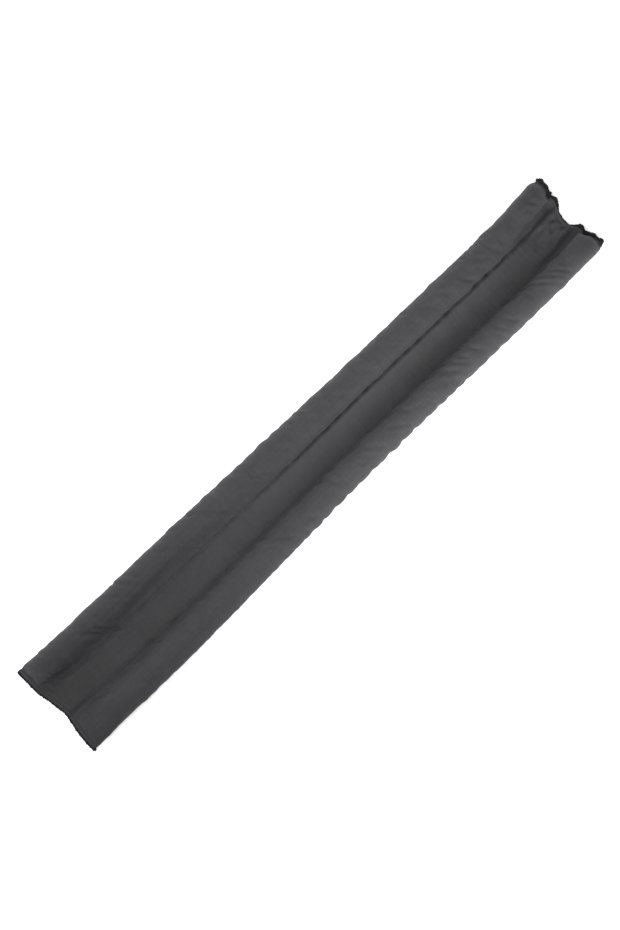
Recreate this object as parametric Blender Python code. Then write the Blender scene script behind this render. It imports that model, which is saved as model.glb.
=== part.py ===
"""Draught excluder for the foot of a door: one cloth sleeve with two stuffed tubes and a flat web.

Runs in Blender 4.5. The sleeve lies on z = 0 with its length along X and the origin under its
middle. The two layers of cloth are sewn together along both sides of the web, the long outer
sides are folds, and each open end is pressed flat and finished with a row of black overlock
thread. The sizes below are in millimetres, and the model is in metres.
"""

import math
from collections import namedtuple

import bmesh
import bpy

MM = 0.001

# Driving sizes. The girth is the cloth round one tube, and the cloth is both layers together.
LENGTH = 870.0
TUBE_GIRTH = 113.0
LEAST_TUBE_HEIGHT = 10.0
CLOTH = 2.4
SEAM_HEIGHT = 9.0
WEB_SAG = 2.6

# A tube's outer fold stands at this share of its height. Its underside would hang this many
# times lower than the seam and the fold stand, and the floor presses it flat.
FOLD_LEVEL = 0.44
UNDERSIDE_PRESS = 1.5

# Ends, counted from the outer edge of the thread inwards
NEAR_THREAD = 2.0
FAR_THREAD = 3.6
THREAD_HEIGHT = 3.4
THREAD_ROUNDNESS = 0.6
THREAD_GAP = 0.3
LIP = 9.0
END_ROUND = 42.0

# How finely the cloth is divided
TUBE_STEPS = 8
WEB_STEPS = 4
END_STEPS = 6
LIP_STEPS = 2
BODY_PITCH = 8.0
THREAD_SIDES = 8

# Puckers along the outer folds: small drawn-in dips, strongest past the middle. Their spacing
# drifts by up to this share of a turn over this distance.
PUCKER_PITCH = 25.0
PUCKER_DEPTH = 1.3
PUCKER_CENTRE = 80.0
PUCKER_SPREAD = 190.0
PUCKER_DRIFT = 1.1
PUCKER_DRIFT_REACH = 47.0

# A soft fold takes away no more than this share of a tube's swell
MOST_FOLD = 0.6

SHARP_ANGLE = 50.0
CLOTH_ROUGHNESS = 0.9
THREAD_ROUGHNESS = 0.75
CLOTH_COLOUR = (0.072, 0.074, 0.080, 1.0)
THREAD_COLOUR = (0.010, 0.010, 0.011, 1.0)

# Where the folds and the seams of the sleeve run, from one end to the other. y grows to the left.
Section = namedtuple("Section", "x left seam_left seam_right right")
SECTIONS = (
    Section(-435, 65.6, 24.4, -15.2, -64.2),
    Section(-402, 62.2, 23.6, -16.0, -63.9),
    Section(-374, 61.4, 21.0, -19.2, -64.0),
    Section(-317, 60.5, 19.8, -20.8, -65.5),
    Section(-247, 60.5, 18.8, -22.1, -65.2),
    Section(-177, 59.9, 18.6, -21.9, -63.6),
    Section(-95, 58.3, 17.7, -20.7, -61.4),
    Section(-11, 57.1, 17.0, -20.2, -59.1),
    Section(85, 54.7, 16.9, -21.2, -58.2),
    Section(195, 53.6, 15.8, -22.8, -59.1),
    Section(306, 53.2, 15.0, -24.4, -60.8),
    Section(381, 55.0, 15.5, -22.2, -61.0),
    Section(409, 58.1, 17.0, -20.2, -60.8),
    Section(421, 58.2, 17.4, -19.2, -60.0),
    Section(435, 55.8, 17.4, -18.6, -57.0),
)

# The end edges from left to right: how far the edge is drawn in, and how high it stands.
EdgePoint = namedtuple("EdgePoint", "y inset height")
NEAR_EDGE = (
    EdgePoint(66, 0.4, 4.6),
    EdgePoint(56, 0.0, 6.6),
    EdgePoint(44, 0.6, 8.6),
    EdgePoint(29, 0.6, 7.0),
    EdgePoint(20, 2.4, 4.8),
    EdgePoint(4, 5.0, 5.4),
    EdgePoint(-11, 6.9, 5.0),
    EdgePoint(-20, 5.6, 4.2),
    EdgePoint(-34, 3.6, 7.2),
    EdgePoint(-48, 2.2, 8.2),
    EdgePoint(-64, 1.8, 4.6),
)
FAR_EDGE = (
    EdgePoint(56, 0.0, 5.0),
    EdgePoint(47, 0.4, 8.4),
    EdgePoint(39, 2.0, 9.6),
    EdgePoint(32, 5.8, 6.4),
    EdgePoint(24, 4.2, 10.0),
    EdgePoint(15, 7.6, 7.6),
    EdgePoint(8, 11.6, 5.6),
    EdgePoint(-6, 14.6, 5.4),
    EdgePoint(-14, 11.8, 5.4),
    EdgePoint(-21, 7.4, 7.4),
    EdgePoint(-27, 7.2, 9.6),
    EdgePoint(-33, 9.2, 6.4),
    EdgePoint(-39, 5.2, 8.8),
    EdgePoint(-48, 3.2, 8.8),
    EdgePoint(-57, 2.4, 5.0),
)

# Soft folds that cross the tubes on the slant: their middle, reach, half-width and depth.
Fold = namedtuple("Fold", "x y turn reach width depth")
FOLDS = (
    Fold(-414, 28, -30, 16, 6, 2.2),
    Fold(-406, -22, -8, 22, 6, 2.4),
    Fold(-334, 32, -48, 24, 7, 2.2),
    Fold(-311, 31, -46, 20, 7, 1.8),
    Fold(-262, 34, -48, 22, 8, 1.2),
    Fold(-215, -35, -42, 22, 8, 1.2),
    Fold(-134, 34, -44, 26, 8, 1.8),
    Fold(-86, 31, -44, 20, 7, 1.8),
    Fold(-30, 34, -46, 24, 8, 1.2),
    Fold(42, -38, -44, 22, 8, 1.2),
    Fold(104, 32, -46, 22, 8, 1.2),
    Fold(179, -38, -46, 24, 7, 1.8),
    Fold(236, 35, -44, 22, 8, 1.2),
    Fold(338, -39, -46, 24, 7, 1.8),
    Fold(402, 24, 24, 18, 6, 1.8),
    Fold(404, -27, -24, 18, 6, 1.8),
)


def clamp01(value):
    return min(1.0, max(0.0, value))


def mix(start, end, share):
    return start + (end - start) * share


def ease(share):
    share = clamp01(share)
    return share * share * (3.0 - 2.0 * share)


def read_table(rows, key, column, at):
    """A smooth curve through one column of a table, read at a value of its key column."""
    keys = [getattr(row, key) for row in rows]
    values = [getattr(row, column) for row in rows]
    if keys[0] > keys[-1]:
        keys.reverse()
        values.reverse()
    at = min(keys[-1], max(keys[0], at))
    last = len(keys) - 1
    k = next(i for i in range(last) if at <= keys[i + 1])

    def slope(i):
        low, high = max(i - 1, 0), min(i + 1, last)
        return (values[high] - values[low]) / (keys[high] - keys[low])

    span = keys[k + 1] - keys[k]
    t = (at - keys[k]) / span
    start_part = (values[k] * (1 + 2 * t) + slope(k) * span * t) * (1 - t) ** 2
    end_part = (values[k + 1] * (3 - 2 * t) + slope(k + 1) * span * (t - 1)) * t**2
    return start_part + end_part


def edge_of(x):
    return NEAR_EDGE if x < 0 else FAR_EDGE


def thread_of(x):
    return NEAR_THREAD if x < 0 else FAR_THREAD


def tube_height(width):
    """The cloth round a tube has one length, so a wider tube is a flatter one."""
    squared = 2.0 * (TUBE_GIRTH / math.pi) ** 2 - width**2
    return math.sqrt(max(squared, LEAST_TUBE_HEIGHT**2))


def fullness(depth):
    """0 on the flat lip and 1 where the tube is fully stuffed, depth counted from the lip."""
    share = clamp01(depth / END_ROUND)
    return math.sqrt(1.0 - (1.0 - share) ** 2)


def fold_depth(x, y):
    """How far the soft folds press the upper cloth in at a place."""
    total = 0.0
    for fold in FOLDS:
        angle = math.radians(fold.turn)
        along = (x - fold.x) * math.cos(angle) + (y - fold.y) * math.sin(angle)
        across = (y - fold.y) * math.cos(angle) - (x - fold.x) * math.sin(angle)
        total += fold.depth * math.exp(-((along / fold.reach) ** 2) - (across / fold.width) ** 2)
    return total


def pucker_depth(x, side):
    """The dips along an outer fold, uneven in their spacing."""
    reach = math.exp(-(((x - PUCKER_CENTRE) / PUCKER_SPREAD) ** 2))
    phase = 2.0 * math.pi * x / PUCKER_PITCH + PUCKER_DRIFT * math.sin(x / PUCKER_DRIFT_REACH) + side
    return PUCKER_DEPTH * reach * (0.5 + 0.5 * math.cos(phase)) ** 2


def stations():
    """Rows across the sleeve, as (distance along, depth behind the lip)."""
    near = -LENGTH / 2 + NEAR_THREAD + THREAD_GAP
    far = LENGTH / 2 - FAR_THREAD - THREAD_GAP
    lip_rows = [LIP * k / LIP_STEPS for k in range(LIP_STEPS)]
    turn = math.pi / 2 / END_STEPS
    round_rows = [LIP + END_ROUND * (1 - math.cos(turn * k)) for k in range(END_STEPS)]
    ends = lip_rows + round_rows
    body_start = near + LIP + END_ROUND
    body_length = far - LIP - END_ROUND - body_start
    steps = round(body_length / BODY_PITCH)
    rows = [(near + d, d - LIP) for d in ends]
    for k in range(steps + 1):
        x = body_start + body_length * k / steps
        rows.append((x, END_ROUND + min(x - body_start, body_start + body_length - x)))
    rows += [(far - d, d - LIP) for d in reversed(ends)]
    return rows


def columns():
    """Places across the sleeve, as (tube side, turn round the tube) or (0, share of the web)."""
    left = [(1, k / TUBE_STEPS) for k in range(TUBE_STEPS)]
    web = [(0, k / WEB_STEPS) for k in range(WEB_STEPS + 1)]
    right = [(-1, k / TUBE_STEPS) for k in reversed(range(TUBE_STEPS))]
    return left + web + right


def place(row, column, upper):
    """The point of the upper or lower cloth at a row and a column, in millimetres."""
    x, depth = row
    side, share = column
    full = fullness(depth)
    left, seam_left, seam_right, right = (
        read_table(SECTIONS, "x", name, x) for name in ("left", "seam_left", "seam_right", "right")
    )
    bulge = 0.0
    press = 0.0
    if side == 0:
        y = mix(seam_left, seam_right, share)
        middle = SEAM_HEIGHT - WEB_SAG * (1.0 - (2.0 * share - 1.0) ** 2)
    else:
        outer, seam = (left, seam_left) if side > 0 else (right, seam_right)
        turn = math.pi * share
        outer -= side * pucker_depth(x, side) * full * (1.0 + math.cos(turn)) / 2
        round_share = (1.0 - math.cos(turn)) / 2
        y = mix(outer, seam, mix(share, round_share, ease(full)))
        height = tube_height(abs(outer - seam))
        fold_height = FOLD_LEVEL * height
        middle = mix(fold_height, SEAM_HEIGHT, round_share)
        half = (fold_height + SEAM_HEIGHT) / 2
        bulge = full * math.sin(turn) * (height - half - CLOTH / 2)
        press = full * math.sin(turn) * UNDERSIDE_PRESS * half
    edge = edge_of(x)
    middle = mix(read_table(edge, "y", "height", y), middle, ease(full))
    drawn = read_table(edge, "y", "inset", y) * (1.0 - ease(depth / END_ROUND))
    x += drawn if x < 0 else -drawn
    if upper:
        z = middle + CLOTH / 2 + bulge
        z -= min(fold_depth(x, y) * full, MOST_FOLD * bulge)
    else:
        z = max(middle - CLOTH / 2 - press, 0.0)
    return x, y, z


def new_object(name, bm, collection, material):
    mesh = bpy.data.meshes.new(name)
    bmesh.ops.recalc_face_normals(bm, faces=bm.faces)
    bm.to_mesh(mesh)
    bm.free()
    mesh.shade_smooth()
    mesh.set_sharp_from_angle(angle=math.radians(SHARP_ANGLE))
    mesh.materials.append(material)
    obj = bpy.data.objects.new(name, mesh)
    collection.objects.link(obj)
    return obj


def make_material(name, colour, roughness):
    material = bpy.data.materials.new(name)
    material.use_nodes = True
    shader = material.node_tree.nodes["Principled BSDF"]
    shader.inputs["Base Color"].default_value = colour
    shader.inputs["Roughness"].default_value = roughness
    shader.inputs["Metallic"].default_value = 0.0
    return material


def make_cover(collection, material):
    """Two flat grids, joined all round their rim, take the shape of the upper and lower cloth."""
    rows = stations()
    cols = columns()
    bm = bmesh.new()
    layers = []
    for level in (1.0, 0.0):
        grid = bmesh.ops.create_grid(bm, x_segments=len(rows) - 1, y_segments=len(cols) - 1, size=1.0)
        bmesh.ops.translate(bm, verts=grid["verts"], vec=(0.0, 0.0, level))
        layers.append(grid["verts"])
    rim = [edge for edge in bm.edges if edge.is_boundary]
    bmesh.ops.bridge_loops(bm, edges=rim)
    for upper, verts in zip((True, False), layers):
        for vert in verts:
            i = round((vert.co.x + 1.0) / 2.0 * (len(rows) - 1))
            j = round((1.0 - vert.co.y) / 2.0 * (len(cols) - 1))
            vert.co = [c * MM for c in place(rows[i], cols[j], upper)]
    return new_object("cover", bm, collection, material)


def make_thread(name, end, collection, material):
    """The overlocked edge: a narrow round-backed strip that follows the lip of the cloth."""
    rows = stations()
    row = rows[0] if end < 0 else rows[-1]
    width = thread_of(end)
    sides = [math.pi * (k / (THREAD_SIDES - 1) - 0.5) for k in range(THREAD_SIDES)]
    bm = bmesh.new()
    start = bmesh.ops.create_circle(bm, cap_ends=True, segments=THREAD_SIDES, radius=1.0)
    cap = start["verts"][0].link_faces[0]
    for number, column in enumerate(columns()):
        if number:
            behind = cap
            grown = bmesh.ops.extrude_face_region(bm, geom=[behind])["geom"]
            cap = next(item for item in grown if isinstance(item, bmesh.types.BMFace))
            if number > 1:
                bmesh.ops.delete(bm, geom=[behind], context="FACES_ONLY")
        x, y, z = place(row, column, True)
        z -= CLOTH / 2
        for vert, angle in zip(cap.verts, sides):
            out = THREAD_GAP + width * max(math.cos(angle), 0.0) ** THREAD_ROUNDNESS
            vert.co = [c * MM for c in (x + end * out, y, z + THREAD_HEIGHT / 2 * math.sin(angle))]
    return new_object(name, bm, collection, material)


def main():
    for obj in list(bpy.data.objects):
        bpy.data.objects.remove(obj)
    collection = bpy.data.collections.new("draught_excluder")
    bpy.context.scene.collection.children.link(collection)
    cloth = make_material("charcoal_cloth", CLOTH_COLOUR, CLOTH_ROUGHNESS)
    thread = make_material("black_thread", THREAD_COLOUR, THREAD_ROUGHNESS)
    make_cover(collection, cloth)
    make_thread("edge_thread_near", -1, collection, thread)
    make_thread("edge_thread_far", 1, collection, thread)


main()
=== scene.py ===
# %% [markdown]
# # A stuffed draught excluder
# A draught excluder slides under a door. This one is a long sleeve of charcoal cloth. Two rows of
# sewing leave a stuffed tube on each side and a flat web between them, which the door stands over.
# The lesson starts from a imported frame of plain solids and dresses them: it sews the sleeve,
# stuffs it with a short cloth simulation, and then adds folds, stitches, edge threads and a weave.

import math
import random
from collections import namedtuple

import bmesh
import bpy
import numpy as np
from mathutils import Matrix, Vector


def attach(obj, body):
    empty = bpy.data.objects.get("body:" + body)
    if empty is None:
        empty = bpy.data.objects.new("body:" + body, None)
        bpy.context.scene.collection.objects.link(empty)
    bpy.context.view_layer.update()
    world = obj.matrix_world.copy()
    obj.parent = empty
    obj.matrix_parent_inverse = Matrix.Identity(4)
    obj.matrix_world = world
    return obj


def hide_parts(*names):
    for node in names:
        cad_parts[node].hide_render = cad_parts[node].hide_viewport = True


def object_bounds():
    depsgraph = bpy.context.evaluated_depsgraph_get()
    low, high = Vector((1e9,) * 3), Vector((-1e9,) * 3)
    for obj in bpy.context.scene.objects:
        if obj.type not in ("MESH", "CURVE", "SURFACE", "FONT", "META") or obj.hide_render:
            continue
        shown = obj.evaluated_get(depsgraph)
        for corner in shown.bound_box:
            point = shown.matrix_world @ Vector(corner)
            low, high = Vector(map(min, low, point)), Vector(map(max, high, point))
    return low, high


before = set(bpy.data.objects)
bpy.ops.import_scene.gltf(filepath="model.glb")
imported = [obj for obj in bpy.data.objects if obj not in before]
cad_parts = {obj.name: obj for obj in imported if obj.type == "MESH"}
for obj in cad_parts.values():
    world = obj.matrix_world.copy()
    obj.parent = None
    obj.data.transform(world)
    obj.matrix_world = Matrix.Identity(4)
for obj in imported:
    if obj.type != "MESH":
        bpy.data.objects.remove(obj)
cad_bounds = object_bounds()
MM = 0.001
print("frame nodes:", sorted(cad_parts))

# %% [markdown]
# ## The camera
# The photograph looks almost straight down on the sleeve, from a little way towards its near end.
# A camera could be aimed with a Track To constraint, but its roll would then be left to chance. Here
# three directions are worked out, right, up and back, and they are the columns of its matrix.

# %% Camera
ELEVATION = math.radians(80.0)
TURN = math.radians(44.62)
DISTANCE = 1.9
AIM = Vector((-0.0175, 0.0, 0.0))
SENSOR = 36.0
LENS = 61.45

right = Vector((math.cos(TURN), -math.sin(TURN), 0.0))
ahead = Vector((math.sin(TURN), math.cos(TURN), 0.0))
back = Vector((0.0, 0.0, 1.0)) * math.sin(ELEVATION) - ahead * math.cos(ELEVATION)
axes = Matrix((right, back.cross(right), back)).transposed().to_4x4()
camera_data = bpy.data.cameras.new("camera")
camera_data.sensor_width = SENSOR
camera_data.lens = LENS
camera = bpy.data.objects.new("camera", camera_data)
bpy.context.scene.collection.objects.link(camera)
camera.matrix_world = Matrix.Translation(AIM + back * DISTANCE) @ axes
bpy.context.scene.camera = camera
print("camera at", [round(c, 3) for c in camera.matrix_world.translation])

# %% [markdown]
# ## The sizes of the sleeve
# Real stuffed cloth is never even. A few rows along the length say where the two outer folds and the
# two seams run, in millimetres, and a smooth curve joins the rows. The same is done for the two
# ends, where each point says how far the edge is drawn in and how high it stands off the floor.

# %% Sizes
LENGTH = (cad_bounds[1][0] - cad_bounds[0][0]) / MM
TUBE_GIRTH = 113.0
WEB_CLOTH = 39.5
FLAT_WIDTH = TUBE_GIRTH + WEB_CLOTH
LEAST_TUBE_HEIGHT = 10.0
CLOTH = 2.4
WEB_FALL = 1.22
FOLD_LEVEL = 0.44
UNDERSIDE_PRESS = 1.5
NEAR_THREAD = 2.0
FAR_THREAD = 3.6
THREAD_GAP = 0.3
LIPS = {-1: 6.4, 1: 3.0}
END_ROUNDS = {-1: 25.0, 1: 24.0}
END_SHAPE = 0.72

Section = namedtuple("Section", "x left seam_left seam_right right")
SECTIONS = (
    Section(-435, 65.6, 24.4, -15.2, -64.2),
    Section(-402, 62.2, 23.6, -16.0, -63.9),
    Section(-374, 61.4, 21.0, -19.2, -64.0),
    Section(-317, 60.5, 19.8, -20.8, -65.5),
    Section(-247, 60.5, 18.8, -22.1, -65.2),
    Section(-177, 59.9, 18.6, -21.9, -63.6),
    Section(-95, 58.3, 17.7, -20.7, -61.4),
    Section(-11, 57.1, 17.0, -20.2, -59.1),
    Section(85, 54.7, 17.8, -21.8, -58.2),
    Section(195, 53.6, 17.0, -23.8, -59.1),
    Section(306, 53.2, 16.4, -25.6, -60.8),
    Section(381, 55.0, 16.8, -23.2, -61.0),
    Section(409, 58.1, 17.0, -20.2, -60.8),
    Section(421, 58.2, 17.4, -19.2, -60.0),
    Section(435, 55.8, 17.4, -18.6, -57.0),
)
EdgePoint = namedtuple("EdgePoint", "y inset height")
NEAR_EDGE = (
    EdgePoint(66, 0.4, 4.6),
    EdgePoint(56, 0.0, 6.6),
    EdgePoint(44, 0.6, 8.6),
    EdgePoint(29, 0.6, 7.0),
    EdgePoint(20, 2.4, 4.8),
    EdgePoint(4, 5.0, 5.4),
    EdgePoint(-11, 6.9, 5.0),
    EdgePoint(-20, 5.6, 4.2),
    EdgePoint(-34, 3.6, 7.2),
    EdgePoint(-48, 2.2, 8.2),
    EdgePoint(-64, 1.8, 4.6),
)
FAR_EDGE = (
    EdgePoint(56, 0.0, 5.0),
    EdgePoint(47, 0.4, 8.4),
    EdgePoint(39, 2.0, 9.6),
    EdgePoint(32, 5.8, 6.4),
    EdgePoint(24, 4.2, 10.0),
    EdgePoint(15, 7.6, 7.6),
    EdgePoint(8, 11.6, 5.6),
    EdgePoint(-6, 14.6, 5.4),
    EdgePoint(-14, 11.8, 5.4),
    EdgePoint(-21, 7.4, 7.4),
    EdgePoint(-27, 7.2, 9.6),
    EdgePoint(-33, 9.2, 6.4),
    EdgePoint(-39, 5.2, 8.8),
    EdgePoint(-48, 3.2, 8.8),
    EdgePoint(-57, 2.4, 5.0),
)
print("sleeve length", round(LENGTH, 1), "mm,", len(SECTIONS), "sections")

# %% [markdown]
# The tubes aren't packed evenly. Towards the near end the filling is slack, so each tube slopes down
# to its seam in a soft valley. Further along the left tube is packed hard and stands steeply beside
# its seam, and the web hangs from that high seam down to a low one on the right. In the table 1 is
# packed hard, 0 is slack, less than 0 is sunken, and more than 1 bulges over the seam.

# %% How hard the tubes are packed beside each seam, and how high the seams and the web lie
Packing = namedtuple("Packing", "x left right left_seam right_seam web_rise")
PACKINGS = (
    Packing(-435, -0.3, 0.0, 4.2, 4.0, 0.0),
    Packing(-400, -0.5, 0.0, 4.0, 4.0, 0.8),
    Packing(-370, -0.6, 0.0, 4.2, 4.6, 1.8),
    Packing(-300, -0.7, 0.0, 5.4, 5.6, 2.2),
    Packing(-180, -0.6, 0.0, 7.8, 5.8, 1.2),
    Packing(-90, 0.3, 0.0, 12.4, 5.4, 0.2),
    Packing(-20, 0.8, 0.0, 16.4, 4.8, -0.8),
    Packing(120, 1.1, 0.1, 20.6, 4.2, -1.6),
    Packing(300, 1.1, 0.1, 19.8, 3.8, -1.8),
    Packing(340, 0.7, 0.0, 12.0, 3.6, -1.6),
    Packing(372, 0.2, 0.0, 4.2, 3.2, 1.4),
    Packing(398, -0.2, -0.2, 2.8, 2.6, 5.0),
    Packing(418, -0.2, -0.2, 2.8, 2.6, 4.0),
    Packing(435, -0.2, -0.2, 3.2, 3.0, 0.0),
)
OVERHANG = 1.6
OVERHANG_STEEPNESS = 4
SLACK_SLOPE = 4.0


# %% Smooth curves through the rows
def clamp01(value):
    return min(1.0, max(0.0, value))


def mix(start, end, share):
    return start + (end - start) * share


def ease(share):
    share = clamp01(share)
    return share * share * (3.0 - 2.0 * share)


class Curve:
    """A smooth curve through one column of a table, read at a value of its first column."""

    def __init__(self, rows, column):
        rows = sorted(rows)
        self.keys = [row[0] for row in rows]
        self.values = [getattr(row, column) for row in rows]

    def slope(self, i):
        low, high = max(i - 1, 0), min(i + 1, len(self.keys) - 1)
        return (self.values[high] - self.values[low]) / (self.keys[high] - self.keys[low])

    def __call__(self, at):
        keys, values = self.keys, self.values
        at = min(keys[-1], max(keys[0], at))
        k = next(i for i in range(len(keys) - 1) if at <= keys[i + 1])
        span = keys[k + 1] - keys[k]
        t = (at - keys[k]) / span
        start_part = (values[k] * (1 + 2 * t) + self.slope(k) * span * t) * (1 - t) ** 2
        end_part = (values[k + 1] * (3 - 2 * t) + self.slope(k + 1) * span * (t - 1)) * t**2
        return start_part + end_part


LINES = {name: Curve(SECTIONS, name) for name in Section._fields[1:]}
PACKED = {1: Curve(PACKINGS, "left"), -1: Curve(PACKINGS, "right")}
SEAM_HEIGHTS = {1: Curve(PACKINGS, "left_seam"), -1: Curve(PACKINGS, "right_seam")}
WEB_RISE = Curve(PACKINGS, "web_rise")
INSETS = {-1: Curve(NEAR_EDGE, "inset"), 1: Curve(FAR_EDGE, "inset")}
HEIGHTS = {-1: Curve(NEAR_EDGE, "height"), 1: Curve(FAR_EDGE, "height")}
print("web at the middle is", round(LINES["seam_left"](0) - LINES["seam_right"](0), 1), "mm wide")

# %% [markdown]
# ## Cutting and sewing the sleeve
# The cloth is two layers. bmesh makes each as a flat grid, and Bridge Edge Loops joins the two rims,
# so the sleeve is closed from the start. Every point then moves to its place on the stuffed form:
# round each tube the points are spread by angle, and on the flat lip at each end they are even.


# %% The shape of the stuffed sleeve
def tube_height(width):
    """The cloth round a tube has one length, so a wider tube is a flatter one."""
    squared = 2.0 * (TUBE_GIRTH / math.pi) ** 2 - width**2
    return math.sqrt(max(squared, LEAST_TUBE_HEIGHT**2))


def fullness(depth, end):
    """0 on the flat lip and 1 where the tube is fully stuffed."""
    return (1.0 - (1.0 - clamp01(depth / END_ROUNDS[end])) ** 2) ** END_SHAPE


def rows_along(pitch, end_steps, lip_steps):
    """Rows across the sleeve, as (distance along, depth behind the lip)."""
    near = -LENGTH / 2 + NEAR_THREAD + THREAD_GAP
    far = LENGTH / 2 - FAR_THREAD - THREAD_GAP
    turn = math.pi / 2 / end_steps
    insets = {}
    for end, lip in LIPS.items():
        insets[end] = [lip * k / lip_steps for k in range(lip_steps)]
        insets[end] += [lip + END_ROUNDS[end] * (1 - math.cos(turn * k)) for k in range(end_steps)]
    start = near + LIPS[-1] + END_ROUNDS[-1]
    length = far - LIPS[1] - END_ROUNDS[1] - start
    steps = round(length / pitch)
    rows = [(near + inset, inset - LIPS[-1]) for inset in insets[-1]]
    for k in range(steps + 1):
        x = start + length * k / steps
        rows.append((x, (END_ROUNDS[-1] + x - start) if x < 0 else (END_ROUNDS[1] + start + length - x)))
    return rows + [(far - inset, inset - LIPS[1]) for inset in reversed(insets[1])]


def columns_across(tube_steps, web_steps):
    """Places across the sleeve, as (tube side, share of the turn) or (0, share of the web)."""
    left = [(1, k / tube_steps) for k in range(tube_steps)]
    web = [(0, k / web_steps) for k in range(web_steps + 1)]
    return left + web + [(-1, k / tube_steps) for k in reversed(range(tube_steps))]


LEAN_SCALE = 27.0 / 4.0


def lean(share):
    """How far a hard-packed tube leans over its seam: from 0 up to 1, a little above the seam."""
    inner = clamp01(2.0 * share - 1.0)
    return LEAN_SCALE * inner**2 * (1.0 - inner)


def place(row, column, upper):
    """The point of the upper or lower cloth at a row and a column, in millimetres."""
    x, depth = row
    side, share = column
    end = -1 if x < 0 else 1
    full = fullness(depth, end)
    left, seam_left, seam_right, right_fold = (LINES[name](x) for name in Section._fields[1:])
    bulge = 0.0
    press = 0.0
    if side == 0:
        y = mix(seam_left, seam_right, share)
        middle = mix(SEAM_HEIGHTS[1](x), SEAM_HEIGHTS[-1](x), ease(WEB_FALL * share))
        middle += WEB_RISE(x) * (1.0 - (2.0 * share - 1.0) ** 4)
    else:
        outer, seam = (left, seam_left) if side > 0 else (right_fold, seam_right)
        packed = PACKED[side](x)
        seam_height = SEAM_HEIGHTS[side](x)
        turn = math.pi * share
        round_share = (1.0 - math.cos(turn)) / 2
        y = mix(outer, seam, mix(share, round_share, ease(full)))
        y -= side * OVERHANG * max(packed, 0.0) ** OVERHANG_STEEPNESS * full * lean(share)
        height = tube_height(abs(outer - seam))
        fold_height = FOLD_LEVEL * height
        middle = mix(fold_height, seam_height, round_share)
        half = (fold_height + seam_height) / 2
        slope = 1.0 + SLACK_SLOPE * (1.0 - packed) * ease(2.0 * share - 1.0)
        bulge = full * math.sin(turn) ** slope * (height - half - CLOTH / 2)
        press = full * math.sin(turn) * UNDERSIDE_PRESS * half
    middle = mix(HEIGHTS[end](y), middle, ease(full))
    x -= end * INSETS[end](y) * (1.0 - ease(depth / END_ROUNDS[end]))
    if upper:
        return x, y, middle + CLOTH / 2 + bulge
    return x, y, max(middle - CLOTH / 2 - press, 0.0)


def girth_at(column):
    """How far across the flat cloth a column lies, from the left fold."""
    side, share = column
    if side == 0:
        return TUBE_GIRTH / 2 + share * WEB_CLOTH
    across = share * TUBE_GIRTH / 2
    return across if side > 0 else FLAT_WIDTH - across


# %% [markdown]
# Each point also keeps where it lies on the flat cloth. That is written twice: as plain numbers on
# the points, which the folds use later, and as a UV map in metres, which the weave follows round
# every curve. The lower layer counts backwards from the left fold, so the weave runs on round it.

# %% Sew the two layers into a closed sleeve
ROW_PITCH = 3.3
END_STEPS = 12
LIP_STEPS = 4
TUBE_STEPS = 14
WEB_STEPS = 10
ROWS = rows_along(ROW_PITCH, END_STEPS, LIP_STEPS)
COLUMNS = columns_across(TUBE_STEPS, WEB_STEPS)


def lay_weave(bm, layers, uv_of):
    """Flat-cloth coordinates in metres for every face corner."""
    row_of, column_of, upper_of, along_of, girth_of = layers
    last_row, last_column = len(ROWS) - 1, len(COLUMNS) - 1
    for face in bm.faces:
        joins = len({vert[upper_of] for vert in face.verts}) == 2
        rows = {vert[row_of] for vert in face.verts}
        for loop in face.loops:
            along, girth = loop.vert[along_of], loop.vert[girth_of]
            if not loop.vert[upper_of]:
                if joins and rows == {0}:
                    along -= CLOTH
                elif joins and rows == {last_row}:
                    along += CLOTH
                elif joins and loop.vert[column_of] == last_column:
                    girth += CLOTH
                else:
                    girth = -CLOTH - girth
            loop[uv_of].uv = (along * MM, girth * MM)


def sew_sleeve():
    """The closed sleeve, with what each point is and where it lies on the flat cloth."""
    bm = bmesh.new()
    whole = [bm.verts.layers.int.new(name) for name in ("row", "column", "upper")]
    measured = [bm.verts.layers.float.new(name) for name in ("along", "girth", "top", "loft")]
    row_of, column_of, upper_of = whole
    along_of, girth_of, top_of, loft_of = measured
    uv_of = bm.loops.layers.uv.new("weave")
    sheets = []
    for level in (1.0, 0.0):
        sizes = dict(x_segments=len(ROWS) - 1, y_segments=len(COLUMNS) - 1, size=1.0)
        grid = bmesh.ops.create_grid(bm, **sizes)
        bmesh.ops.translate(bm, verts=grid["verts"], vec=(0.0, 0.0, level))
        sheets.append(grid["verts"])
    bmesh.ops.bridge_loops(bm, edges=[edge for edge in bm.edges if edge.is_boundary])
    for upper, verts in zip((1, 0), sheets):
        for vert in verts:
            row = round((vert.co.x + 1.0) / 2.0 * (len(ROWS) - 1))
            column = round((1.0 - vert.co.y) / 2.0 * (len(COLUMNS) - 1))
            vert[row_of], vert[column_of], vert[upper_of] = row, column, upper
            vert[along_of], vert[girth_of] = ROWS[row][0], girth_at(COLUMNS[column])
            vert[top_of] = upper
            layers = [place(ROWS[row], COLUMNS[column], layer) for layer in (0, 1)]
            vert[loft_of] = layers[1][2] - layers[0][2]
            vert.co = [c * MM for c in layers[upper]]
    lay_weave(bm, (row_of, column_of, upper_of, along_of, girth_of), uv_of)
    bmesh.ops.recalc_face_normals(bm, faces=bm.faces)
    mesh = bpy.data.meshes.new("sleeve_cloth")
    bm.to_mesh(mesh)
    bm.free()
    piece = bpy.data.objects.new("sleeve_cloth", mesh)
    bpy.context.scene.collection.objects.link(piece)
    return piece


sleeve = sew_sleeve()
print("sleeve has", len(sleeve.data.vertices), "points,", len(ROWS), "rows of", len(COLUMNS))

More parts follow.
